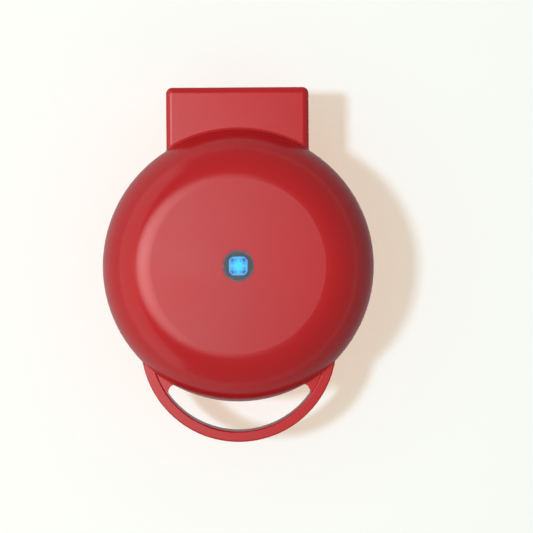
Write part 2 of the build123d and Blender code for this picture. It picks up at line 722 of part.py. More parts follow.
# The upper shield also lets the thermostat's terminals through
terminal_half = thermostat_terminal_spacing / 2
terminal_spots = [(-terminal_half, -thermostat_offset), (terminal_half, -thermostat_offset)]
with BuildPart() as upper_heat_shield:
    add(upper_plane.location * shield_dish.part)
    with BuildSketch(upper_plane.offset(shield_face)):
        with Locations(*terminal_spots):
            Circle(shield_hole_radius)
    extrude(amount=shield_thickness, mode=Mode.SUBTRACT)
upper_heat_shield.part.label = "upper_heat_shield"
export_step(upper_heat_shield.part, "parts/upper_heat_shield.step")

# Thermostat: a round can on the back of the upper plate, with two ears under screws
thermostat_plane = upper_plane.offset(plate_back)
with BuildPart() as thermostat:
    with BuildSketch(thermostat_plane):
        with Locations((0, -thermostat_offset)):
            Circle(thermostat_radius)
    extrude(amount=thermostat_height)
    fillet(thermostat.edges().filter_by(GeomType.CIRCLE).group_by(Axis.Z)[-1], thermostat_edge_radius)
    with BuildSketch(thermostat_plane):
        with Locations((0, -thermostat_offset)):
            SlotOverall(thermostat_screw_spacing + 2 * thermostat_ear_radius, 2 * thermostat_ear_radius)
    extrude(amount=thermostat_ear_thickness)
    with BuildSketch(thermostat_plane):
        with Locations(*thermostat_screw_spots):
            Circle(small_screw_radius + screw_clearance)
    extrude(amount=thermostat_ear_thickness, mode=Mode.SUBTRACT)
    with BuildSketch(thermostat_plane.offset(thermostat_height)):
        with Locations(*terminal_spots):
            Circle(thermostat_terminal_radius)
    extrude(amount=thermostat_terminal_length)
thermostat.part.label = "thermostat"
export_step(thermostat.part, "parts/thermostat.step")

ear_face = thermostat_plane.offset(thermostat_ear_thickness)
with BuildPart() as thermostat_screws:
    add(slotted_screws(Plane(origin=ear_face.origin, x_dir=(1, 0, 0), z_dir=(0, 0, -1)),
                       [(x, -y) for x, y in thermostat_screw_spots], small_screw_radius,
                       thermostat_screw_length))
thermostat_screws.part.label = "thermostat_screws"
export_step(thermostat_screws.part, "parts/thermostat_screws.step")

# Thermal fuse across the back of the lower plate, under a bent strap
fuse_plane = Plane.YZ.offset(-fuse_length / 2)
fuse_height = base_rim_height - plate_back - fuse_radius - strap_clearance
with BuildPart() as thermal_fuse:
    with BuildSketch(fuse_plane):
        with Locations((0, fuse_height)):
            Circle(fuse_radius)
    extrude(amount=fuse_length)
    fillet(thermal_fuse.edges().filter_by(GeomType.CIRCLE), strap_thickness)
    with BuildSketch(fuse_plane.offset(-fuse_wire_length)):
        with Locations((0, fuse_height)):
            Circle(fuse_wire_radius)
    extrude(amount=fuse_length + 2 * fuse_wire_length)
thermal_fuse.part.label = "thermal_fuse"
export_step(thermal_fuse.part, "parts/thermal_fuse.step")

with BuildPart() as fuse_strap:
    strap_inner = fuse_radius + strap_clearance
    strap_outer = strap_inner + strap_thickness
    strap_face = base_rim_height - plate_back
    with BuildSketch(Plane.YZ):
        with Locations((0, fuse_height)):
            Circle(strap_outer)
        with BuildLine():
            Polyline((-strap_outer, fuse_height), (strap_outer, fuse_height),
                     (strap_outer, fuse_height + strap_outer), (-strap_outer, fuse_height + strap_outer),
                     close=True)
        make_face(mode=Mode.SUBTRACT)
        with BuildLine():
            Polyline((-strap_outer, fuse_height), (strap_outer, fuse_height),
                     (strap_outer, strap_face - strap_thickness),
                     (strap_outer + strap_foot, strap_face - strap_thickness),
                     (strap_outer + strap_foot, strap_face), (-strap_outer - strap_foot, strap_face),
                     (-strap_outer - strap_foot, strap_face - strap_thickness),
                     (-strap_outer, strap_face - strap_thickness), close=True)
        make_face()
        with Locations((0, fuse_height)):
            Circle(strap_inner, mode=Mode.SUBTRACT)
        with BuildLine():
            Polyline((-strap_inner, fuse_height), (strap_inner, fuse_height), (strap_inner, strap_face),
                     (-strap_inner, strap_face), close=True)
        make_face(mode=Mode.SUBTRACT)
    extrude(amount=strap_width / 2, both=True)
fuse_strap.part.label = "fuse_strap"
export_step(fuse_strap.part, "parts/fuse_strap.step")

# Indicator light: lens, faceted jewel, housing, board, emitter and retaining ring
with BuildPart() as light_lens:
    with BuildSketch(Plane.XY.offset(lens_seat - lens_flange_thickness)):
        Circle(lens_flange_radius)
    extrude(amount=lens_flange_thickness)
    with BuildSketch(Plane.XY.offset(lens_seat - lens_flange_thickness)):
        Circle(lens_radius)
    extrude(amount=lid_top - lens_inset - lens_seat + lens_flange_thickness)
light_lens.part.label = "light_lens"
export_step(light_lens.part, "parts/light_lens.step")

with BuildPart() as light_jewel:
    with BuildSketch(Plane.XY.offset(jewel_floor)) as jewel_foot:
        Rectangle(jewel_width, jewel_width)
        chamfer(jewel_foot.vertices(), jewel_corner)
    extrude(amount=jewel_thickness / 2)
    with BuildSketch(Plane.XY.offset(jewel_floor + jewel_thickness / 2)) as jewel_girdle:
        Rectangle(jewel_width, jewel_width)
        chamfer(jewel_girdle.vertices(), jewel_corner)
    with BuildSketch(Plane.XY.offset(housing_top)) as jewel_table:
        Rectangle(jewel_table_width, jewel_table_width)
        chamfer(jewel_table.vertices(), jewel_corner * jewel_table_width / jewel_width)
    loft(ruled=True)
light_jewel.part.label = "light_jewel"
export_step(light_jewel.part, "parts/light_jewel.step")

with BuildPart() as light_housing:
    with BuildSketch(Plane.XY.offset(housing_end)):
        Circle(housing_radius)
        Circle(housing_radius - housing_wall, mode=Mode.SUBTRACT)
    extrude(amount=housing_length)
    with BuildSketch(Plane.XY.offset(jewel_floor)):
        Circle(housing_radius)
        Circle(window_radius, mode=Mode.SUBTRACT)
    extrude(amount=-housing_shelf)
light_housing.part.label = "light_housing"
export_step(light_housing.part, "parts/light_housing.step")

with BuildPart() as light_board:
    with BuildSketch(Plane.XY.offset(housing_end)):
        Circle(housing_radius - housing_wall - board_clearance)
    extrude(amount=board_thickness)
light_board.part.label = "light_board"
export_step(light_board.part, "parts/light_board.step")

with BuildPart() as light_emitter:
    with BuildSketch(Plane.XY.offset(board_top)):
        Rectangle(emitter_width, emitter_width)
    extrude(amount=emitter_height)
    chamfer(light_emitter.edges().filter_by(Axis.Z), strap_thickness)
light_emitter.part.label = "light_emitter"
export_step(light_emitter.part, "parts/light_emitter.step")

with BuildPart() as light_retainer:
    with BuildSketch(Plane.XY.offset(retainer_end)):
        Circle(collar_radius - retainer_clearance)
        Circle(collar_radius - retainer_clearance - retainer_width, mode=Mode.SUBTRACT)
    extrude(amount=retainer_thickness)
light_retainer.part.label = "light_retainer"
export_step(light_retainer.part, "parts/light_retainer.step")

# Rubber feet in their seats under the base
foot_names = ["foot_rear_right", "foot_rear_left", "foot_front_left", "foot_front_right"]
for foot_name, spot in zip(foot_names, on_circle(foot_circle, post_count, post_start_angle)):
    with BuildPart() as foot:
        with BuildSketch(Plane.XY):
            with Locations(spot):
                Circle(foot_radius)
        extrude(amount=foot_height + foot_recess)
        fillet(foot.edges().group_by(Axis.Z)[0], foot_edge_radius)
    foot.part.label = foot_name
    export_step(foot.part, f"parts/{foot_name}.step")

# Stub pins of the hinge, one on each side
pin_near = arm_x - arm_width / 2 - pin_overhang
pin_far = block_half - pin_inset
for pin_name, side in (("hinge_pin_left", -1), ("hinge_pin_right", 1)):
    with BuildPart() as hinge_pin:
        with BuildSketch(Plane.YZ.offset(side * pin_near)):
            with Locations((hinge_y, hinge_z)):
                Circle(pin_radius)
        extrude(amount=side * (pin_far - pin_near))
    hinge_pin.part.label = pin_name
    export_step(hinge_pin.part, f"parts/{pin_name}.step")

with BuildPart() as hinge_wire_sleeve:
    with BuildSketch(Plane.YZ):
        with Locations((hinge_y, hinge_z)):
            Circle(sleeve_outer_radius)
            Circle(sleeve_bore_radius, mode=Mode.SUBTRACT)
    extrude(amount=sleeve_length / 2, both=True)
hinge_wire_sleeve.part.label = "hinge_wire_sleeve"
export_step(hinge_wire_sleeve.part, "parts/hinge_wire_sleeve.step")

# Cord inlet: a flanged bush flush with the rear face
with BuildPart() as cord_gland:
    with BuildSketch(Plane.XZ.offset(-block_back)):
        with Locations((0, gland_height)):
            Circle(gland_flange_radius)
            Circle(gland_bore_radius, mode=Mode.SUBTRACT)
    extrude(amount=gland_flange_thickness)
    with BuildSketch(Plane.XZ.offset(-block_back)):
        with Locations((0, gland_height)):
            Circle(gland_radius)
            Circle(gland_bore_radius, mode=Mode.SUBTRACT)
    extrude(amount=gland_length)
cord_gland.part.label = "cord_gland"
export_step(cord_gland.part, "parts/cord_gland.step")

cord_clamp_spots = [(-cord_clamp_spacing / 2, cord_clamp_y), (cord_clamp_spacing / 2, cord_clamp_y)]
with BuildPart() as cord_clamp:
    with BuildSketch(Plane.XY.offset(gland_height)):
        with Locations((0, cord_clamp_y)):
            SlotOverall(cord_clamp_spacing + cord_clamp_width, cord_clamp_width)
        with Locations(*cord_clamp_spots):
            Circle(small_screw_radius + screw_clearance, mode=Mode.SUBTRACT)
    extrude(amount=cord_clamp_thickness)
    with BuildSketch(Plane.XZ.offset(-cord_clamp_y)):
        with Locations((0, gland_height)):
            Circle(gland_bore_radius)
    extrude(amount=cord_clamp_width, both=True, mode=Mode.SUBTRACT)
cord_clamp.part.label = "cord_clamp"
export_step(cord_clamp.part, "parts/cord_clamp.step")

clamp_top = Plane(origin=(0, 0, gland_height + cord_clamp_thickness), x_dir=(1, 0, 0), z_dir=(0, 0, -1))
with BuildPart() as cord_clamp_screws:
    add(slotted_screws(clamp_top, [(x, -y) for x, y in cord_clamp_spots], small_screw_radius,
                       small_screw_length))
cord_clamp_screws.part.label = "cord_clamp_screws"
export_step(cord_clamp_screws.part, "parts/cord_clamp_screws.step")

# Terminal block on the floor of the base
terminal_top = floor_top + terminal_block_height
terminal_half_span = terminal_spacing * (terminal_count - 1) / 2
terminal_xs = [terminal_spacing * pole - terminal_half_span for pole in range(terminal_count)]
with BuildPart() as terminal_block:
    with BuildSketch(Plane.XY.offset(floor_top)):
        with Locations((0, terminal_block_offset)):
            RectangleRounded(terminal_block_length, terminal_block_depth, shell_wall / 2)
    extrude(amount=terminal_block_height)
    with BuildSketch(Plane.XY.offset(terminal_top)):
        with Locations(*[(x, terminal_block_offset) for x in terminal_xs]):
            Circle(screw_head_radius + screw_clearance)
    extrude(amount=-terminal_well_depth, mode=Mode.SUBTRACT)
    with BuildSketch(Plane.XY.offset(terminal_top - terminal_well_depth)):
        with Locations(*[(x, terminal_block_offset) for x in terminal_xs]):
            Circle(small_screw_radius + screw_clearance)
    extrude(amount=-(terminal_screw_length + screw_clearance), mode=Mode.SUBTRACT)
terminal_block.part.label = "terminal_block"
export_step(terminal_block.part, "parts/terminal_block.step")

well_floor = Plane(origin=(0, 0, terminal_top - terminal_well_depth), x_dir=(1, 0, 0), z_dir=(0, 0, -1))
with BuildPart() as terminal_screws:
    add(slotted_screws(well_floor, [(x, -terminal_block_offset) for x in terminal_xs],
                       small_screw_radius, terminal_screw_length))
terminal_screws.part.label = "terminal_screws"
export_step(terminal_screws.part, "parts/terminal_screws.step")


def bend_radii(points):
    """Radius of each bend: as large as its two runs allow, up to the largest."""
    radii = []
    for before, corner, after in zip(points, points[1:], points[2:]):
        run_in = Vector(corner) - Vector(before)
        run_out = Vector(after) - Vector(corner)
        half_turn = radians(run_in.get_angle(run_out)) / 2
        room = bend_share * min(run_in.length, run_out.length)
        radii.append(min(lead_bend, room * cos(half_turn) / sin(half_turn)))
    return radii


def lead(points, radius):
    """Round lead along straight runs joined by tangent bends."""
    with BuildPart() as tube:
        with BuildLine() as route:
            FilletPolyline(*points, radius=bend_radii(points))
        with BuildSketch(Plane(origin=route.line @ 0, z_dir=route.line % 0)):
            Circle(radius)
        sweep(path=route.line)
    return tube.part


def along_bowl(x, wall_height):
    """Middle of a lead that lies just inside the bowl, beside this height of its wall."""
    across = base_radius - shell_wall - base_flat_radius
    down = base_rim_height - floor_top
    turn = asin((base_rim_height - wall_height) / down)
    slope = hypot(cos(turn) / across, sin(turn) / down)
    inset = lead_radius + lead_room
    out = base_flat_radius + across * cos(turn) - inset * cos(turn) / across / slope
    height = wall_height + inset * sin(turn) / down / slope
    return (x, sqrt(out ** 2 - x ** 2), height)


element_end = base_rim_height - element_pin_end
lead_level = floor_top + terminal_block_height / 2
terminal_front = terminal_block_offset - terminal_block_depth / 2
terminal_rear = terminal_block_offset + terminal_block_depth / 2
feed_x = -terminal_spacing / 2
shield_edge = shield_wall_radius + shield_thickness
trough_edge = hinge_y - trough_radius - lead_room

# Leads in the base: two from the element's pins to the block, one from the block to the hinge
base_lead_path = [(feed_x, terminal_rear, lead_level), (feed_x, terminal_rear + lead_end_run, lead_level),
                  along_bowl(feed_x, floor_top + floor_run_height),
                  along_bowl(1.5 * feed_x, tab_floor_top)]
for aside, beyond, above in base_lead_points:
    base_lead_path.append((base_lead_x + aside, shield_edge + beyond, tab_floor_top + above))
base_lead_path += [(base_lead_x, trough_edge, base_rim_height - lead_radius - lead_room / 2),
                   (base_lead_x, hinge_y, hinge_z), (lead_overlap - sleeve_length / 2, hinge_y, hinge_z)]
with BuildPart() as base_leads:
    for side in (-1, 1):
        add(lead([(side * element_end_half, -element_end_y, element_end),
                  (side * element_end_half, -element_end_y, lead_level),
                  (side * terminal_spacing, terminal_front - lead_end_run, lead_level),
                  (side * terminal_spacing, terminal_front, lead_level)], lead_radius))
    add(lead(base_lead_path, lead_radius))
base_leads.part.label = "base_leads"
export_step(base_leads.part, "parts/base_leads.step")

upper_element_end = lid_rim_height + element_pin_end
shield_top = lid_rim_height + shield_back
lid_lead_level = (shield_top + lid_top - shell_wall) / 2
jumper_level = shield_top + lead_radius + lead_room
thermostat_end = lid_rim_height + plate_back + thermostat_height + thermostat_terminal_length

# Leads in the lid: from the hinge to one pin of the element, and from the other pin to the thermostat
lid_lead_path = [(sleeve_length / 2 - lead_overlap, hinge_y, hinge_z), (lid_lead_x, hinge_y, hinge_z),
                 (lid_lead_x, trough_edge, lid_rim_height + lead_radius + lead_room),
                 (lid_lead_x, sqrt((lid_rim_radius - shell_wall) ** 2 - lid_lead_x ** 2),
                  lid_rim_height + (frame_thickness + lead_notch_rise) / 2)]
for aside, beyond, above in lid_lead_points:
    lid_lead_path.append((lid_lead_x + aside, shield_edge + beyond, lid_rim_height + above))
lid_lead_path += [(element_end_half, element_end_y, lid_lead_level + lead_radius),
                  (element_end_half, element_end_y, upper_element_end)]
with BuildPart() as lid_leads:
    add(lead(lid_lead_path, lead_radius))
    add(lead([(-element_end_half, element_end_y, upper_element_end),
              (-element_end_half, element_end_y, lid_lead_level + lead_radius),
              (-element_end_half - jumper_side, jumper_rear, lid_lead_level),
              (-element_end_half - jumper_side, jumper_front, jumper_level),
              (-terminal_half, -thermostat_offset, jumper_level),
              (-terminal_half, -thermostat_offset, thermostat_end)], lead_radius))
lid_leads.part.label = "lid_leads"
export_step(lid_leads.part, "parts/lid_leads.step")

light_lead_level = shield_top + light_lead_radius + lead_room
pin_side = Vector(element_end_half, element_end_y, light_lead_level)
board_port = Vector(-light_lead_half_spacing, 0, light_lead_level)
pin_touch = pin_side - (pin_side - board_port).normalized() * element_pin_radius
with BuildPart() as light_leads:
    add(lead([(light_lead_half_spacing, 0, housing_end), (light_lead_half_spacing, 0, light_lead_level),
              (terminal_half, -thermostat_offset, light_lead_level),
              (terminal_half, -thermostat_offset, thermostat_end)], light_lead_radius))
    add(lead([(-light_lead_half_spacing, 0, housing_end), board_port, pin_touch], light_lead_radius))
light_leads.part.label = "light_leads"
export_step(light_leads.part, "parts/light_leads.step")
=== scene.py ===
import json
from math import atan2, cos, pi, radians, sin

import bmesh
import bpy
from bpy.props import FloatProperty, FloatVectorProperty, PointerProperty
from mathutils import Matrix, Vector

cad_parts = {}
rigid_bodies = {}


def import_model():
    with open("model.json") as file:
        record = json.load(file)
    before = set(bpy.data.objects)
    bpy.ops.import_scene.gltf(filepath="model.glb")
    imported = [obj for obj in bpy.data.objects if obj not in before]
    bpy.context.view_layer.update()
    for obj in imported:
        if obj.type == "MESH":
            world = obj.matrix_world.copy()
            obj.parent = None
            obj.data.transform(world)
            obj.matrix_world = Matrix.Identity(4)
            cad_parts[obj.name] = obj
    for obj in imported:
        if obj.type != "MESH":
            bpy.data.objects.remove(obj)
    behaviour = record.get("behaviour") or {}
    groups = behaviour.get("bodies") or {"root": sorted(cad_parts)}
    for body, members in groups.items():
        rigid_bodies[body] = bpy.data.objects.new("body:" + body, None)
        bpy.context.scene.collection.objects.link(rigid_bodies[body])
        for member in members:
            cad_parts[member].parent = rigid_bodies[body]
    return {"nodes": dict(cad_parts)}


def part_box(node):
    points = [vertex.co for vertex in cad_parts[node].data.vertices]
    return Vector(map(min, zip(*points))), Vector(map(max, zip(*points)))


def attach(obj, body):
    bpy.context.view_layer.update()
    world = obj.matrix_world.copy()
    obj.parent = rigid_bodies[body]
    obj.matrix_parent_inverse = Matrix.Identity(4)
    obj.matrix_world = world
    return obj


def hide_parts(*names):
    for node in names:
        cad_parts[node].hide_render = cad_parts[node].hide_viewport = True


bl_info = {
    "name": "Small Round Waffle Maker",
    "version": (1, 0, 0),
    "blender": (4, 5, 0),
    "location": "View3D > Sidebar > Waffle Maker",
    "description": "Finishes and fine pieces of a small round waffle maker, built on its frame",
    "category": "Object",
}

for leftover in list(bpy.data.objects):
    bpy.data.objects.remove(leftover)

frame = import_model()
bpy.context.view_layer.update()
nodes = frame["nodes"]


# Finishes

class Finish:
    """A node material being laid out: the shader, its output and a few shorthands."""

    def __init__(self, name, color, roughness, metallic=0.0):
        self.material = bpy.data.materials.get(name) or bpy.data.materials.new(name)
        self.material.use_nodes = True
        self.tree = self.material.node_tree
        self.tree.nodes.clear()
        self.shader = self.add("ShaderNodeBsdfPrincipled")
        self.output = self.add("ShaderNodeOutputMaterial")
        self.link(self.shader, "BSDF", self.output, "Surface")
        self.set(**{"Base Color": (*color[:3], 1.0), "Roughness": roughness, "Metallic": metallic})
        self.place = self.add("ShaderNodeTexCoord")

    def add(self, kind, **values):
        node = self.tree.nodes.new(kind)
        for key, value in values.items():
            setattr(node, key, value)
        return node

    def link(self, start, output, end, entry):
        self.tree.links.new(start.outputs[output], end.inputs[entry])

    def set(self, **values):
        for key, value in values.items():
            self.shader.inputs[key].default_value = value

    def noise(self, scale, detail=3.0, roughness=0.5, stretch=None, distortion=0.0):
        """Noise on the piece's own coordinates, in features per metre, drawn out by stretch."""
        grain = self.add("ShaderNodeTexNoise")
        grain.inputs["Scale"].default_value = scale
        grain.inputs["Detail"].default_value = detail
        grain.inputs["Roughness"].default_value = roughness
        grain.inputs["Distortion"].default_value = distortion
        if stretch:
            mapping = self.add("ShaderNodeMapping")
            mapping.inputs["Scale"].default_value = stretch
            self.link(self.place, "Object", mapping, "Vector")
            self.link(mapping, "Vector", grain, "Vector")
        else:
            self.link(self.place, "Object", grain, "Vector")
        return grain

    def cells(self, scale, feature="F1"):
        """Cell pattern on the piece's own coordinates."""
        pattern = self.add("ShaderNodeTexVoronoi", feature=feature)
        pattern.inputs["Scale"].default_value = scale
        self.link(self.place, "Object", pattern, "Vector")
        return pattern

    def spread(self, source, output, low, high, start=0.3, end=0.7):
        """The source's values from start to end, spread over low to high."""
        remap = self.add("ShaderNodeMapRange")
        remap.inputs["From Min"].default_value = start
        remap.inputs["From Max"].default_value = end
        remap.inputs["To Min"].default_value = low
        remap.inputs["To Max"].default_value = high
        self.link(source, output, remap, "Value")
        return remap

    def tint(self, source, output, stops, entry="Base Color"):
        """Colours the shader's entry by the source through a ramp of (place, colour) stops."""
        ramp = self.add("ShaderNodeValToRGB")
        while len(ramp.color_ramp.elements) < len(stops):
            ramp.color_ramp.elements.new(1.0)
        for element, (place, color) in zip(ramp.color_ramp.elements, stops):
            element.position = place
            element.color = (*color[:3], 1.0)
        self.link(source, output, ramp, "Fac")
        if entry:
            self.link(ramp, "Color", self.shader, entry)
        return ramp

    def bump(self, source, output, depth, strength=1.0, below=None):
        """Raises the surface by the source, depth in metres, over an earlier bump if given."""
        relief = self.add("ShaderNodeBump")
        relief.inputs["Strength"].default_value = strength
        relief.inputs["Distance"].default_value = depth
        self.link(source, output, relief, "Height")
        if below:
            self.link(below, "Normal", relief, "Normal")
        self.link(relief, "Normal", self.shader, "Normal")
        return relief


def shade(color, amount):
    """The colour made lighter or darker by a factor."""
    return tuple(min(1.0, channel * amount) for channel in color[:3])


def red_gloss(sizes):
    """High gloss moulded red: a whisper of mould texture and handling haze."""
    color = sizes.shell_color
    look = Finish("red_gloss", color, 0.2)
    patches = look.noise(9.0, detail=2.0)
    look.tint(patches, "Fac", [(0.35, shade(color, 0.94)), (0.65, shade(color, 1.05))])
    haze = look.noise(38.0, detail=6.0, roughness=0.62, distortion=0.4)
    look.link(look.spread(haze, "Fac", sizes.shell_roughness - 0.03, sizes.shell_roughness + 0.05), "Result",
              look.shader, "Roughness")
    skin = look.noise(420.0, detail=1.0)
    look.bump(skin, "Fac", 0.00002, 0.35)
    look.set(**{"IOR": 1.5, "Specular IOR Level": 0.5})
    return look.material


def black_grain(sizes):
    """Heat-resistant frame plastic with a fine spark-eroded grain."""
    color = sizes.frame_color
    look = Finish("black_grain", color, 0.5)
    patches = look.noise(30.0, detail=4.0)
    look.tint(patches, "Fac", [(0.3, shade(color, 0.8)), (0.7, shade(color, 1.35))])
    grain = look.cells(1500.0)
    fine = look.noise(2600.0, detail=2.0)
    first = look.bump(grain, "Distance", 0.00005, 0.5)
    look.bump(fine, "Fac", 0.00003, 0.4, below=first)
    look.link(look.spread(patches, "Fac", 0.44, 0.6), "Result", look.shader, "Roughness")
    return look.material


def non_stick(sizes):
    """Sprayed non-stick coating on cast metal: fine flecks, and soft gloss that varies in places."""
    color = sizes.plate_color
    look = Finish("non_stick", color, 0.38)
    flecks = look.cells(1100.0)
    look.tint(flecks, "Distance", [(0.0, shade(color, 3.4)), (0.13, shade(color, 1.25)), (0.5, color)])
    wear = look.noise(26.0, detail=5.0, roughness=0.6)
    look.link(look.spread(wear, "Fac", 0.3, 0.48), "Result", look.shader, "Roughness")
    orange = look.noise(900.0, detail=2.0)
    look.bump(orange, "Fac", 0.00006, 0.5)
    return look.material


def zinc_steel(sizes):
    """Zinc-plated steel, rolled one way, with a soft cloudy sheen."""
    color = sizes.steel_color
    look = Finish("zinc_steel", color, 0.34, metallic=1.0)
    clouds = look.noise(60.0, detail=5.0, roughness=0.65)
    look.tint(clouds, "Fac", [(0.3, shade(color, 0.82)), (0.7, shade(color, 1.12))])
    rolled = look.noise(70.0, detail=3.0, stretch=(1.0, 26.0, 26.0))
    look.bump(rolled, "Fac", 0.00003, 0.35)
    look.link(look.spread(clouds, "Fac", 0.28, 0.44), "Result", look.shader, "Roughness")
    return look.material


def heated_sheath():
    """Element sheath, dull and tinted by heat."""
    look = Finish("heated_sheath", (0.2, 0.19, 0.18), 0.45, metallic=0.85)
    heat = look.noise(45.0, detail=5.0, roughness=0.6)
    look.tint(heat, "Fac", [(0.25, (0.10, 0.095, 0.10)), (0.45, (0.22, 0.19, 0.17)),
                            (0.6, (0.30, 0.23, 0.15)), (0.78, (0.13, 0.15, 0.21))])
    look.link(look.spread(heat, "Fac", 0.38, 0.6), "Result", look.shader, "Roughness")
    pits = look.noise(1300.0, detail=3.0)
    look.bump(pits, "Fac", 0.00004, 0.4)
    return look.material


def smoked_lens(sizes):
    """Clear smoked plastic, polished, with the faintest dust, and a blue line round its rim that is painted
    glow: the jewel's light showing in the lens edge.
    """
    painted_glow_blue = (0.05, 0.12, 0.3)
    full = (1.0, 1.0, 1.0)
    murky = (0.15, 0.15, 0.15)
    line_reach = 0.0003
    look = Finish("smoked_lens", sizes.lens_color, 0.03)
    dust = look.noise(240.0, detail=6.0, roughness=0.7)
    look.link(look.spread(dust, "Fac", 0.02, 0.07, 0.45, 0.8), "Result", look.shader, "Roughness")
    flat = look.add("ShaderNodeMapping")
    flat.inputs["Scale"].default_value = (1.0, 1.0, 0.0)
    look.link(look.place, "Object", flat, "Vector")
    radius = look.add("ShaderNodeVectorMath", operation="LENGTH")
    look.link(flat, "Vector", radius, "Vector")
    # Painted glow: the blue, less clear line at this radius stands for the jewel's light showing in the lens
    # edge
    rim = look.spread(radius, "Value", 0.0, 1.0, sizes.lens_rim - line_reach, sizes.lens_rim + line_reach)
    look.tint(rim, "Result", [(0.0, sizes.lens_color), (0.1, painted_glow_blue), (0.5, painted_glow_blue),
                              (0.8, sizes.lens_color)])
    clear = look.tint(rim, "Result", [(0.0, full), (0.1, murky), (0.5, murky), (0.8, full)], None)
    look.link(clear, "Color", look.shader, "Transmission Weight")
    look.set(**{"IOR": 1.3})
    return look.material


def lit_jewel(sizes):
    """Faceted plastic lit from below: the facets glow by how much light each one is given."""
    look = Finish("lit_jewel", (0.02, 0.16, 0.3), 0.12)
    given = look.add("ShaderNodeAttribute", attribute_name="glow")
    sparkle = look.noise(1500.0, detail=1.0)
    mixed = look.add("ShaderNodeMix", data_type="FLOAT")
    mixed.inputs["Factor"].default_value = 0.12
    look.link(given, "Fac", mixed, "A")
    look.link(sparkle, "Fac", mixed, "B")
    look.tint(mixed, "Result", [(0.0, (0.002, 0.01, 0.02)), (0.15, (0.005, 0.03, 0.1)),
                                (0.5, (0.09, 0.25, 0.9)), (0.65, (0.05, 0.26, 1.0)),
                                (0.9, (0.03, 0.62, 1.0))], "Emission Color")
    look.set(**{"Emission Strength": sizes.jewel_glow, "IOR": 1.49, "Specular IOR Level": 0.12})
    return look.material


def matt_plastic(name, color, roughness=0.5, grain=1500.0):
    """Plain moulded plastic with a fine grain and slight unevenness of colour."""
    look = Finish(name, color, roughness)
    patches = look.noise(40.0, detail=4.0)
    look.tint(patches, "Fac", [(0.3, shade(color, 0.9)), (0.7, shade(color, 1.08))])
    skin = look.cells(grain)
    look.bump(skin, "Distance", 0.00003, 0.4)
    look.link(look.spread(patches, "Fac", roughness - 0.06, roughness + 0.07), "Result",
              look.shader, "Roughness")
    return look.material


def soft_rubber(sizes):
    """Dark rubber, matt and lightly dusty."""
    color = sizes.rubber_color
    look = Finish("soft_rubber", color, 0.75)
    dust = look.noise(150.0, detail=7.0, roughness=0.7)
    look.tint(dust, "Fac", [(0.35, color), (0.75, shade(color, 2.6))])
    look.link(look.spread(dust, "Fac", 0.66, 0.85), "Result", look.shader, "Roughness")
    pores = look.noise(1800.0, detail=2.0)
    look.bump(pores, "Fac", 0.00005, 0.5)
    return look.material


def wire_sleeve(name, color):
    """Silicone insulation, satin, with a slightly uneven drawn skin."""
    look = Finish(name, color, 0.48)
    drawn = look.noise(320.0, detail=3.0)
    look.tint(drawn, "Fac", [(0.35, shade(color, 0.88)), (0.7, shade(color, 1.04))])
    look.bump(drawn, "Fac", 0.00004, 0.4)
    look.set(**{"Subsurface Weight": 0.05, "Subsurface Scale": 0.001})
    return look.material


def woven_sleeve():
    """Braided glass-fibre sleeve: crossed yarns wound round the hinge axis."""
    look = Finish("woven_sleeve", (0.66, 0.62, 0.52), 0.7)
    yarns = []
    for lean in (1.0, -1.0):
        wave = look.add("ShaderNodeTexWave", wave_type="BANDS", bands_direction="X")
        wave.inputs["Scale"].default_value = 260.0
        wave.inputs["Distortion"].default_value = 0.6
        mapping = look.add("ShaderNodeMapping")
        mapping.inputs["Rotation"].default_value = (0.0, lean * 0.7, lean * 0.7)
        look.link(look.place, "Object", mapping, "Vector")
        look.link(mapping, "Vector", wave, "Vector")
        yarns.append(wave)
    crossed = look.add("ShaderNodeMath", operation="MAXIMUM")
    look.link(yarns[0], "Fac", crossed, 0)
    look.tree.links.new(yarns[1].outputs["Fac"], crossed.inputs[1])
    look.tint(crossed, "Value", [(0.2, (0.36, 0.33, 0.27)), (0.9, (0.72, 0.68, 0.58))])
    look.bump(crossed, "Value", 0.00012, 0.7)
    return look.material


def solder_mask():
    """Green board with faint copper tracks under the mask."""
    look = Finish("solder_mask", (0.02, 0.15, 0.06), 0.3)
    tracks = look.add("ShaderNodeTexBrick")
    tracks.inputs["Scale"].default_value = 210.0
    tracks.inputs["Color1"].default_value = (0.015, 0.13, 0.05, 1.0)
    tracks.inputs["Color2"].default_value = (0.02, 0.16, 0.065, 1.0)
    tracks.inputs["Mortar"].default_value = (0.05, 0.26, 0.10, 1.0)
    look.link(look.place, "Object", tracks, "Vector")
    look.link(tracks, "Color", look.shader, "Base Color")
    look.bump(tracks, "Fac", 0.00003, 0.5)
    return look.material


def wear(node, finish):
    """Gives a frame node its finish."""
    slots = nodes[node].material_slots
    for place in slots:
        place.material = finish


def new_piece(name, bm, finish, body, *stands_for, slot=None):
    """Makes a piece of a finished bmesh, on its body, in place of frame nodes."""
    mesh = bpy.data.meshes.new(name)
    bm.to_mesh(mesh)
    bm.free()
    mesh.materials.append(finish)
    piece = bpy.data.objects.new(name, mesh)
    bpy.context.scene.collection.objects.link(piece)
    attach(piece, body)
    if stands_for:
        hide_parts(*stands_for)
    return piece


# Sizes and colours a user would change

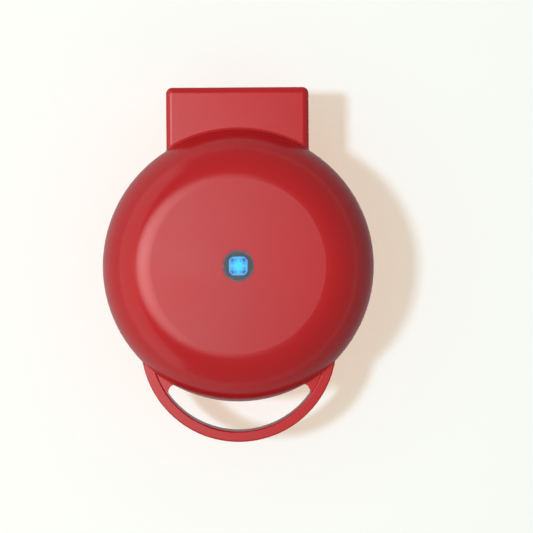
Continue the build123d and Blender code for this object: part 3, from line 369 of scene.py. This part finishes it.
class WaffleMakerSettings(bpy.types.PropertyGroup):
    shell_color: FloatVectorProperty(name="Shell colour", description="Colour of the two outer shells",
                                     subtype="COLOR", size=3, min=0, max=1, default=(0.44, 0.0090, 0.0118))
    shell_roughness: FloatProperty(name="Shell roughness", description="How dull the gloss of the shells is",
                                   subtype="FACTOR", min=0.05, max=1, default=0.2)
    frame_color: FloatVectorProperty(name="Frame colour", description="Rings round the plates",
                                     subtype="COLOR", size=3, min=0, max=1, default=(0.028, 0.027, 0.028))
    plate_color: FloatVectorProperty(name="Plate colour", description="Non-stick coating of the plates",
                                     subtype="COLOR", size=3, min=0, max=1, default=(0.035, 0.034, 0.035))
    steel_color: FloatVectorProperty(name="Steel colour", description="Plated steel pieces",
                                     subtype="COLOR", size=3, min=0, max=1, default=(0.56, 0.56, 0.57))
    rubber_color: FloatVectorProperty(name="Rubber colour", description="Feet under the base",
                                      subtype="COLOR", size=3, min=0, max=1, default=(0.022, 0.022, 0.023))
    lens_color: FloatVectorProperty(name="Lens colour", description="Smoked lens of the indicator light",
                                    subtype="COLOR", size=3, min=0, max=1, default=(0.6, 0.66, 0.68))
    # The blue line round the lens is painted glow, the jewel's light showing in the lens edge
    lens_rim: FloatProperty(name="Lens rim", description="Radius of the blue line round the lens",
                            subtype="DISTANCE", unit="LENGTH", min=0.005, max=0.008, default=0.00705)
    jewel_glow: FloatProperty(name="Jewel glow", description="Brightness of the lit jewel",
                              min=0, max=10, default=1.3)
    jewel_table: FloatProperty(name="Jewel table", description="Radius of the flat at the jewel's middle",
                               subtype="DISTANCE", unit="LENGTH", min=0.001, max=0.004, default=0.0023)


class WaffleMakerStage(bpy.types.PropertyGroup):
    camera_height: FloatProperty(name="Camera height", description="Camera above the table",
                                 subtype="DISTANCE", unit="LENGTH", min=0.3, max=5, default=1.131)
    camera_turn: FloatProperty(name="Camera turn", description="Turn of the camera about its line of sight",
                               subtype="ANGLE", unit="ROTATION", default=radians(-0.37))
    lens: FloatProperty(name="Focal length", description="Focal length of the camera, in millimetres",
                        min=20, max=500, default=150.6)
    floor_color: FloatVectorProperty(name="Table colour", description="Colour of the table",
                                     subtype="COLOR", size=3, min=0, max=1, default=(0.935, 0.965, 0.92))
    lamp_power: FloatProperty(name="Lamp power", description="Power of the main lamp",
                              subtype="POWER", unit="POWER", min=0, max=1000, default=106.0)
    fill_power: FloatProperty(name="Fill power", description="Power of the lamp that lightens the shadow",
                              subtype="POWER", unit="POWER", min=0, max=1000, default=152.0)
    room_light: FloatProperty(name="Room light", description="Strength of the even light all round",
                              min=0, max=2, default=0.25)


# The jewel's cut: whether a ring of its corners is round or follows the square, how far out it lies as a
# share of the jewel's half width or of the square, and its height as a share of the jewel's
jewel_sides = 16
jewel_corner_share = 0.64
jewel_rings = ((True, 0.76, 0.82, "star"), (False, 0.88, 0.64, "gap"), (False, 1.0, 0.45, "rim"),
               (False, 1.0, 0.0, "skirt"))

# How much light each kind of facet is given: along the sides, beside them and at the corners
facet_light = {"star": (0.9, 0.4, 0.75), "gap": (0.8, 0.45, 0.0), "rim": (0.85, 0.85, 0.5),
               "skirt": (0.4, 0.4, 0.4)}
jewel_facet = 2 * pi / jewel_sides

# The lamps, and the glowing oval over the table as gloss shows it, in metres
lamp_place = Vector((-2.07, 0.03, 4.5))
lamp_size = 0.48
main_lamp_color = (0.54, 0.77, 1.0)
fill_lamp_color = (1.0, 0.84, 0.68)
oval_middle = (-0.75, 0.03, 1.5)
oval_reach = (0.95, 0.75, 0.9)
oval_brightness = 5.6
oval_steps = ((0.0, 0.05), (0.1, 0.15), (0.18, 0.28), (0.21, 0.45), (0.35, 0.62), (0.7, 1.0), (1.0, 1.0))
cards_middle = Vector((1.15, 0, 0.75))
cards_size = Vector((5.7, 6.0, 1.5))

# The table, and the dim card that lies just above it, which fades from its left to its right: a painted
# reflection of the table, lit on the left and in painted shade on the right
table_radius = 4.0
card_radius = 1.0
card_height = 0.0004
card_fade_start = -0.12
card_fade_width = 0.24
card_lit_left = (0.45, 0.45, 0.45)
card_shaded_right = (0.22, 0.22, 0.24)
sensor_width = 36.0
camera_shift = (0.0529, -0.001)


# Operators

class DressShells(bpy.types.Operator):
    """Give both outer shells their red gloss"""
    bl_idname = "wafflemaker.dress_shells"
    bl_label = "Dress the shells"

    def execute(self, context):
        red = red_gloss(context.scene.waffle_maker)
        wear("lid_shell", red)
        wear("base_shell", red)
        return {"FINISHED"}


class DressPlates(bpy.types.Operator):
    """Give the waffle plates and the rings round them their finish"""
    bl_idname = "wafflemaker.dress_plates"
    bl_label = "Dress the plates"

    def execute(self, context):
        settings = context.scene.waffle_maker
        coating = non_stick(settings)
        grain = black_grain(settings)
        for node in ("lower_plate", "upper_plate"):
            wear(node, coating)
        for node in ("base_frame", "lid_frame"):
            wear(node, grain)
        return {"FINISHED"}


class MakeLight(bpy.types.Operator):
    """Make the indicator light: lens, lit jewel and what is under them"""
    bl_idname = "wafflemaker.make_light"
    bl_label = "Make the indicator light"

    def execute(self, context):
        settings = context.scene.waffle_maker
        wear("light_lens", smoked_lens(settings))
        wear("light_housing", matt_plastic("housing_dark", (0.045, 0.046, 0.044), 0.55))
        wear("light_board", solder_mask())
        wear("light_emitter", matt_plastic("phosphor_cap", (0.82, 0.72, 0.3), 0.35))
        wear("light_retainer", zinc_steel(settings))
        self.cut_jewel(settings)
        return {"FINISHED"}

    def cut_jewel(self, settings):
        """A square jewel with cut corners: a round table, star facets and a skirt down to its foot."""
        low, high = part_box("light_jewel")
        half = (high.x - low.x) / 2
        corner = half * jewel_corner_share
        bm = bmesh.new()
        glow = bm.faces.layers.float.new("glow")
        table = bmesh.ops.create_circle(bm, cap_ends=True, segments=jewel_sides, radius=settings.jewel_table)
        ring = table["verts"]
        bmesh.ops.rotate(bm, verts=ring, cent=(0, 0, 0), matrix=Matrix.Rotation(jewel_facet / 2, 3, "Z"))
        bmesh.ops.translate(bm, verts=ring, vec=(0, 0, high.z))
        for face in bm.faces:
            face[glow] = 1.0
        edges = [edge for edge in bm.edges if edge.is_boundary]
        for is_round, reach, height, kind in jewel_rings:
            before = set(bm.faces)
            grown = bmesh.ops.extrude_edge_only(bm, edges=edges)["geom"]
            verts = [part for part in grown if isinstance(part, bmesh.types.BMVert)]
            edges = [part for part in grown if isinstance(part, bmesh.types.BMEdge)]
            for vert in verts:
                angle = atan2(vert.co.y, vert.co.x)
                out = reach * (half if is_round else self.square_reach(angle, half, corner))
                vert.co = Vector((out * cos(angle), out * sin(angle), low.z + (high.z - low.z) * height))
            for face in set(bm.faces) - before:
                center = face.calc_center_median()
                face[glow] = self.light_given(kind, atan2(center.y, center.x))
        bmesh.ops.contextual_create(bm, geom=edges)
        bmesh.ops.recalc_face_normals(bm, faces=bm.faces)
        new_piece("lit_jewel", bm, lit_jewel(settings), "lid", "light_jewel", slot="cyan_jewel")

    def square_reach(self, angle, half, corner):
        """Distance from the middle to the square's edge, cut at its corners, in this direction."""
        across = max(abs(cos(angle)), abs(sin(angle)))
        diagonal = (abs(cos(angle)) + abs(sin(angle))) / (half + corner)
        return min(half / across, 1 / diagonal)

    def light_given(self, kind, angle):
        """Light of a facet in this direction: by how many facets it lies from the nearest axis."""
        turn = abs((angle + pi / 4) % (pi / 2) - pi / 4)
        return facet_light[kind][round(turn / jewel_facet)]


class DressHeating(bpy.types.Operator):
    """Finish the heating elements, their clamps and shields, the thermostat and the fuse"""
    bl_idname = "wafflemaker.dress_heating"
    bl_label = "Dress the heating parts"

    def execute(self, context):
        settings = context.scene.waffle_maker
        steel = zinc_steel(settings)
        sheath = heated_sheath()
        for half in ("lower", "upper"):
            wear(half + "_heating_element", sheath)
            for piece in ("element_clamp", "clamp_screws", "heat_shield", "plate_screws"):
                wear(f"{half}_{piece}", steel)
        wear("thermostat", matt_plastic("thermostat_brown", (0.075, 0.042, 0.026), 0.42))
        wear("thermostat_screws", steel)
        wear("thermal_fuse", matt_plastic("fuse_ceramic", (0.68, 0.65, 0.56), 0.36))
        wear("fuse_strap", steel)
        return {"FINISHED"}


class DressFittings(bpy.types.Operator):
    """Finish the feet, the hinge, the cord inlet, the terminals and the leads"""
    bl_idname = "wafflemaker.dress_fittings"
    bl_label = "Dress the fittings"

    def execute(self, context):
        settings = context.scene.waffle_maker
        rubber = soft_rubber(settings)
        steel = zinc_steel(settings)
        black = matt_plastic("gland_black", (0.02, 0.02, 0.021), 0.42)
        cream = matt_plastic("terminal_cream", (0.66, 0.64, 0.58), 0.4)
        for corner in ("front_left", "front_right", "rear_left", "rear_right"):
            wear("foot_" + corner, rubber)
        for node in ("hinge_pin_left", "hinge_pin_right", "cord_clamp_screws", "terminal_screws"):
            wear(node, steel)
        wear("hinge_wire_sleeve", woven_sleeve())
        wear("cord_gland", black)
        wear("cord_clamp", black)
        wear("terminal_block", cream)
        wear("base_leads", wire_sleeve("lead_white", (0.72, 0.71, 0.68)))
        wear("lid_leads", bpy.data.materials["lead_white"])
        wear("light_leads", bpy.data.materials["lead_white"])
        return {"FINISHED"}


class SetStage(bpy.types.Operator):
    """Set up the table, the lamps, the surroundings and the camera"""
    bl_idname = "wafflemaker.set_stage"
    bl_label = "Set the stage"

    def execute(self, context):
        stage = context.scene.waffle_maker_stage
        self.lay_table(stage)
        self.hang_lamps(stage)
        self.hang_cards()
        self.lay_card()
        self.light_world(context.scene, stage)
        self.place_camera(context.scene, stage)
        context.scene.view_settings.view_transform = "Standard"
        return {"FINISHED"}

    def lay_table(self, stage):
        """A wide pale table, seen as near white where nothing shades it."""
        bm = bmesh.new()
        bmesh.ops.create_circle(bm, cap_ends=True, segments=64, radius=table_radius)
        mesh = bpy.data.meshes.new("table")
        bm.to_mesh(mesh)
        bm.free()
        look = Finish("table_cream", stage.floor_color, 0.9)
        look.set(**{"Specular IOR Level": 0.1})
        self.open_from_below(look)
        mesh.materials.append(look.material)
        table = bpy.data.objects.new("table", mesh)
        bpy.context.scene.collection.objects.link(table)

    def open_from_below(self, look):
        """Lets the table be looked through from underneath, where the feet and the floor of the base show."""
        side = look.add("ShaderNodeNewGeometry")
        clear = look.add("ShaderNodeBsdfTransparent")
        mix = look.add("ShaderNodeMixShader")
        look.link(side, "Backfacing", mix, "Fac")
        look.tree.links.new(look.shader.outputs["BSDF"], mix.inputs[1])
        look.tree.links.new(clear.outputs["BSDF"], mix.inputs[2])
        look.link(mix, "Shader", look.output, "Surface")

    def hang_lamps(self, stage):
        """A main lamp to the left, and a warmer fill in the same place that lightens the shadow."""
        self.lamp("main_lamp", stage.lamp_power, main_lamp_color)
        fill = self.lamp("fill_lamp", stage.fill_power, fill_lamp_color)
        fill.data.use_shadow = False

    def lamp(self, name, power, color):
        """A square lamp aimed at the middle of the table, seen in no gloss."""
        data = bpy.data.lights.new(name, "AREA")
        data.size = lamp_size
        data.energy = power
        data.color = color
        lamp = bpy.data.objects.new(name, data)
        lamp.location = lamp_place
        lamp.rotation_euler = (-lamp_place).to_track_quat("-Z", "Y").to_euler()
        lamp.visible_glossy = False
        bpy.context.scene.collection.objects.link(lamp)
        return lamp

    def hang_cards(self):
        """A glowing oval and dark cards over the table, which only the gloss of a surface shows."""
        bm = bmesh.new()
        bmesh.ops.create_cube(bm, size=1.0, matrix=Matrix.LocRotScale(cards_middle, None, cards_size))
        open_sides = [face for face in bm.faces if face.normal.z < -0.5 or face.normal.x < -0.5]
        bmesh.ops.delete(bm, geom=open_sides, context="FACES")
        bmesh.ops.reverse_faces(bm, faces=bm.faces)
        look = Finish("studio_cards", (0, 0, 0), 1.0)
        oval = look.add("ShaderNodeTexGradient", gradient_type="SPHERICAL")
        mapping = look.add("ShaderNodeMapping", vector_type="TEXTURE")
        mapping.inputs["Location"].default_value = oval_middle
        mapping.inputs["Scale"].default_value = oval_reach
        look.link(look.place, "Object", mapping, "Vector")
        look.link(mapping, "Vector", oval, "Vector")
        look.tint(oval, "Fac", [(place, (light,) * 3) for place, light in oval_steps], "Emission Color")
        look.set(**{"Emission Strength": oval_brightness, "Specular IOR Level": 0.0})
        self.gloss_card("studio_cards", bm, look.material)

    def lay_card(self):
        """A dim card on the table, darker to the right, which only the gloss of a surface shows: a painted
        reflection of the table, with painted shade to the right where the object's shadow lies.
        """
        bm = bmesh.new()
        bmesh.ops.create_circle(bm, cap_ends=True, segments=64, radius=card_radius)
        bmesh.ops.translate(bm, verts=bm.verts, vec=(0, 0, card_height))
        look = Finish("table_card", (0, 0, 0), 1.0)
        across = look.add("ShaderNodeTexGradient")
        mapping = look.add("ShaderNodeMapping", vector_type="TEXTURE")
        mapping.inputs["Location"].default_value = (card_fade_start, 0.0, 0.0)
        mapping.inputs["Scale"].default_value = (card_fade_width, 1.0, 1.0)
        look.link(look.place, "Object", mapping, "Vector")
        look.link(mapping, "Vector", across, "Vector")
        # Painted shade: the card's glow falls from left to right, as the table it mirrors lies in shadow on
        # the right
        look.tint(across, "Fac", [(0.0, card_lit_left), (1.0, card_shaded_right)], "Emission Color")
        look.set(**{"Emission Strength": 1.0, "Specular IOR Level": 0.0})
        self.gloss_card("table_card", bm, look.material)

    def gloss_card(self, name, bm, finish):
        """A card of the stage that is seen by nothing but gloss."""
        mesh = bpy.data.meshes.new(name)
        bm.to_mesh(mesh)
        bm.free()
        mesh.materials.append(finish)
        card = bpy.data.objects.new(name, mesh)
        for kind in ("camera", "diffuse", "transmission", "shadow", "volume_scatter"):
            setattr(card, "visible_" + kind, False)
        bpy.context.scene.collection.objects.link(card)

    def light_world(self, scene, stage):
        """An even room: faint where it lights a surface, and white to the eye, in gloss and through glass."""
        world = bpy.data.worlds.new("room")
        scene.world = world
        world.use_nodes = True
        tree = world.node_tree
        tree.nodes.clear()
        path = tree.nodes.new("ShaderNodeLightPath")
        seen = tree.nodes.new("ShaderNodeMath")
        seen.operation = "MAXIMUM"
        through = tree.nodes.new("ShaderNodeMath")
        through.operation = "MAXIMUM"
        room = tree.nodes.new("ShaderNodeBackground")
        room.inputs["Color"].default_value = (1.0, 0.98, 0.95, 1)
        room.inputs["Strength"].default_value = stage.room_light
        white = tree.nodes.new("ShaderNodeBackground")
        white.inputs["Color"].default_value = (1, 1, 1, 1)
        white.inputs["Strength"].default_value = 1.0
        mix = tree.nodes.new("ShaderNodeMixShader")
        out = tree.nodes.new("ShaderNodeOutputWorld")
        tree.links.new(path.outputs["Is Camera Ray"], seen.inputs[0])
        tree.links.new(path.outputs["Is Glossy Ray"], seen.inputs[1])
        tree.links.new(seen.outputs["Value"], through.inputs[0])
        tree.links.new(path.outputs["Is Transmission Ray"], through.inputs[1])
        tree.links.new(through.outputs["Value"], mix.inputs["Fac"])
        tree.links.new(room.outputs["Background"], mix.inputs[1])
        tree.links.new(white.outputs["Background"], mix.inputs[2])
        tree.links.new(mix.outputs["Shader"], out.inputs["Surface"])

    def place_camera(self, scene, stage):
        data = bpy.data.cameras.new("camera")
        data.lens = stage.lens
        data.sensor_width = sensor_width
        data.shift_x, data.shift_y = camera_shift
        data.clip_start = 0.05
        data.clip_end = 20.0
        camera = bpy.data.objects.new("camera", data)
        camera.location = (0, 0, stage.camera_height)
        camera.rotation_euler = (0, 0, stage.camera_turn)
        scene.collection.objects.link(camera)
        scene.camera = camera


class WaffleMakerPanel(bpy.types.Panel):
    """Lists the waffle maker's settings and steps"""
    bl_idname = "VIEW3D_PT_waffle_maker"
    bl_label = "Waffle Maker"
    bl_space_type = "VIEW_3D"
    bl_region_type = "UI"
    bl_category = "Waffle Maker"

    def draw(self, context):
        layout = self.layout
        for settings in (context.scene.waffle_maker, context.scene.waffle_maker_stage):
            box = layout.box()
            for name in settings.bl_rna.properties.keys():
                if name not in ("rna_type", "name"):
                    box.prop(settings, name)
        for step in steps:
            layout.operator(step.bl_idname)


steps = (DressShells, DressPlates, MakeLight, DressHeating, DressFittings, SetStage)
classes = (WaffleMakerSettings, WaffleMakerStage) + steps + (WaffleMakerPanel,)


def register():
    for part in classes:
        bpy.utils.register_class(part)
    bpy.types.Scene.waffle_maker = PointerProperty(type=WaffleMakerSettings)
    bpy.types.Scene.waffle_maker_stage = PointerProperty(type=WaffleMakerStage)


def unregister():
    del bpy.types.Scene.waffle_maker_stage
    del bpy.types.Scene.waffle_maker
    for part in reversed(classes):
        bpy.utils.unregister_class(part)


def main():
    register()
    for step in steps:
        family, step_name = step.bl_idname.split(".")
        getattr(getattr(bpy.ops, family), step_name)()
    bpy.context.view_layer.update()


if __name__ == "__main__":
    main()
